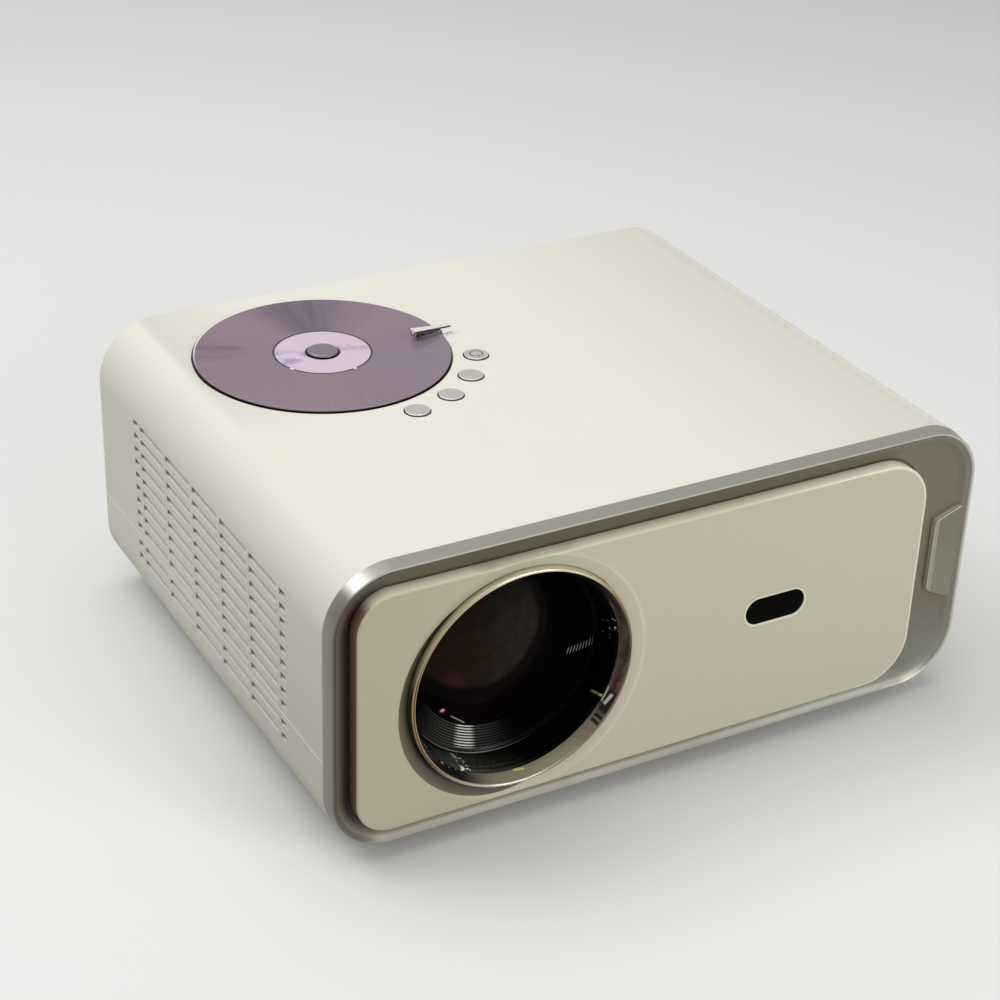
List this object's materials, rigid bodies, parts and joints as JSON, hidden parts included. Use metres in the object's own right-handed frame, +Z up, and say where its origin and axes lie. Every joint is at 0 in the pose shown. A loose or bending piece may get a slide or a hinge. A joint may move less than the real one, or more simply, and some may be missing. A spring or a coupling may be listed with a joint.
{
  "type": "video projector with disc player",
  "caption": "Box-shaped video projector with a recessed lens at the front and a top-loading disc player with clamp arm and round keys in the lid.",
  "frame": {"origin": "middle of the footprint, on the surface that the feet stand on", "axes": "+X to the right seen from the front, +Y to the rear, +Z up; the lens looks along -Y"},
  "size_m": [0.3248, 0.2658, 0.1481],
  "materials": {
    "case_cream": "fine satin texture",
    "frame_silver": "champagne silver, satin",
    "panel_beige": "warm beige, fine matt",
    "smoked_acrylic": "smoked infrared window",
    "ring_chrome": "rose-gold polished",
    "lens_black": "black, semi-gloss",
    "sleeve_black": "glass-filled black",
    "optic_glass": "coated",
    "fresnel_plastic": "clear grooved sheet",
    "mirror_glass": "front-silvered",
    "lcd_glass": "dark panel in a frame",
    "copper": "copper plate",
    "sink_aluminium": "extruded",
    "fan_plastic": "black moulded",
    "deck_black": "dark satin",
    "plated_steel": "zinc plated",
    "disc_mirror": "metallised polycarbonate",
    "key_metal": "silver metallised",
    "arm_chrome": "polished",
    "gear_acetal": "natural acetal",
    "circuit_board": "solder mask",
    "socket_black": "moulded",
    "foot_rubber": "moulded",
    "insert_brass": "knurled insert"
  },
  "bodies": {
    "chassis": {"upper_case": "case_cream", "lower_case": "case_cream", "rear_cover": "case_cream", "front_frame": "frame_silver", "front_panel": "panel_beige", "side_tab": "frame_silver", "ir_window": "smoked_acrylic", "lens_trim_ring": "ring_chrome", "lens_shroud": "lens_black", "lens_sleeve": "sleeve_black", "focus_motor": "plated_steel", "optical_housing": "sleeve_black", "optical_cover": "sleeve_black", "fold_mirror": "mirror_glass", "front_fresnel": "fresnel_plastic", "lcd_panel": "lcd_glass", "rear_fresnel": "fresnel_plastic", "condenser_lens": "optic_glass", "led_module": "copper", "heat_sink": "sink_aluminium", "exhaust_fan_frame": "fan_plastic", "intake_fan_frame": "fan_plastic", "deck_plate": "deck_black", "drive_frame": "plated_steel", "spindle_base": "plated_steel", "centre_post": "plated_steel", "sled_rods": "plated_steel", "sled_motor": "plated_steel", "arm_bush": "arm_chrome", "key_board": "circuit_board", "main_board": "circuit_board", "power_board": "circuit_board", "hdmi_sockets": "plated_steel", "usb_socket": "plated_steel", "mains_inlet": "socket_black", "speaker_left": "socket_black", "speaker_right": "socket_black", "rubber_feet": "foot_rubber", "threaded_inserts": "insert_brass", "case_screws": "plated_steel"},
    "spinner": {"turntable": "deck_black", "disc": "disc_mirror"},
    "centre_key": {"centre_key": "key_metal"},
    "power_key": {"power_key": "key_metal"},
    "key_2": {"key_2": "key_metal"},
    "key_3": {"key_3": "key_metal"},
    "key_4": {"key_4": "key_metal"},
    "arm": {"swing_arm": "arm_chrome"},
    "barrel": {"lens_barrel": "lens_black", "front_lens": "optic_glass", "rear_lens": "optic_glass"},
    "focus_pinion": {"focus_pinion": "gear_acetal"},
    "pickup": {"pickup_sled": "deck_black", "objective_lens": "optic_glass"},
    "sled_gear": {"sled_gear": "gear_acetal"},
    "motor_pinion": {"motor_pinion": "gear_acetal"},
    "exhaust_rotor": {"exhaust_rotor": "fan_plastic"},
    "intake_rotor": {"intake_rotor": "fan_plastic"},
    "adjuster_wheel": {"adjuster_wheel": "foot_rubber"},
    "adjuster_foot": {"adjuster_foot": "foot_rubber"}
  },
  "joints": [
    {"name": "disc_spin", "type": "hinge", "parent": "chassis", "child": "spinner", "pos_m": [-0.0783, 0.0593, 0.14], "axis": [0, 0, 1], "continuous": true},
    {"name": "centre_key_press", "type": "slide", "parent": "chassis", "child": "centre_key", "axis": [0, 0, -1], "range_m": [0, 0.0008], "stiffness_N_per_m": 600, "springref_m": -0.0003},
    {"name": "power_key_press", "type": "slide", "parent": "chassis", "child": "power_key", "axis": [0, 0, -1], "range_m": [0, 0.0008], "stiffness_N_per_m": 600, "springref_m": -0.0003},
    {"name": "key_2_press", "type": "slide", "parent": "chassis", "child": "key_2", "axis": [0, 0, -1], "range_m": [0, 0.0008], "stiffness_N_per_m": 600, "springref_m": -0.0003},
    {"name": "key_3_press", "type": "slide", "parent": "chassis", "child": "key_3", "axis": [0, 0, -1], "range_m": [0, 0.0008], "stiffness_N_per_m": 600, "springref_m": -0.0003},
    {"name": "key_4_press", "type": "slide", "parent": "chassis", "child": "key_4", "axis": [0, 0, -1], "range_m": [0, 0.0008], "stiffness_N_per_m": 600, "springref_m": -0.0003},
    {"name": "arm_swing", "type": "hinge", "parent": "chassis", "child": "arm", "pos_m": [-0.0134, 0.05655, 0.1416], "axis": [0, 0, -1], "range_deg": [0, 100]},
    {"name": "focus_slide", "type": "slide", "parent": "chassis", "child": "barrel", "axis": [0, -1, 0], "range_m": [-0.004, 0.004]},
    {"name": "focus_pinion_turn", "type": "hinge", "parent": "chassis", "child": "focus_pinion", "pos_m": [-0.0244, -0.072, 0.0736], "axis": [0, 0, 1], "range_deg": [-43, 43]},
    {"name": "pickup_slide", "type": "slide", "parent": "chassis", "child": "pickup", "axis": [0, 1, 0], "range_m": [0, 0.032]},
    {"name": "sled_gear_turn", "type": "hinge", "parent": "chassis", "child": "sled_gear", "pos_m": [-0.1067, 0.0873, 0.12], "axis": [0, 0, 1], "range_deg": [-1, 341]},
    {"name": "motor_pinion_turn", "type": "hinge", "parent": "chassis", "child": "motor_pinion", "pos_m": [-0.1067, 0.0711, 0.118], "axis": [0, 0, 1], "range_deg": [-681, 1]},
    {"name": "exhaust_fan_spin", "type": "hinge", "parent": "chassis", "child": "exhaust_rotor", "pos_m": [0.1469, 0, 0.0736], "axis": [1, 0, 0], "continuous": true},
    {"name": "intake_fan_spin", "type": "hinge", "parent": "chassis", "child": "intake_rotor", "pos_m": [-0.1469, 0, 0.0736], "axis": [1, 0, 0], "continuous": true},
    {"name": "adjuster_wheel_turn", "type": "hinge", "parent": "chassis", "child": "adjuster_wheel", "pos_m": [0, -0.1, 0.006], "axis": [0, 0, 1], "range_deg": [0, 2860]},
    {"name": "adjuster_foot_slide", "type": "slide", "parent": "chassis", "child": "adjuster_foot", "axis": [0, 0, -1], "range_m": [0, 0.0119]}
  ],
  "couplings": [
    {"joint": "focus_pinion_turn", "follows": "focus_slide", "rad_per_m": 185.19},
    {"joint": "sled_gear_turn", "follows": "pickup_slide", "rad_per_m": 185.19},
    {"joint": "motor_pinion_turn", "follows": "pickup_slide", "rad_per_m": -370.37},
    {"joint": "adjuster_wheel_turn", "follows": "adjuster_foot_slide", "rad_per_m": 4188.8}
  ]
}
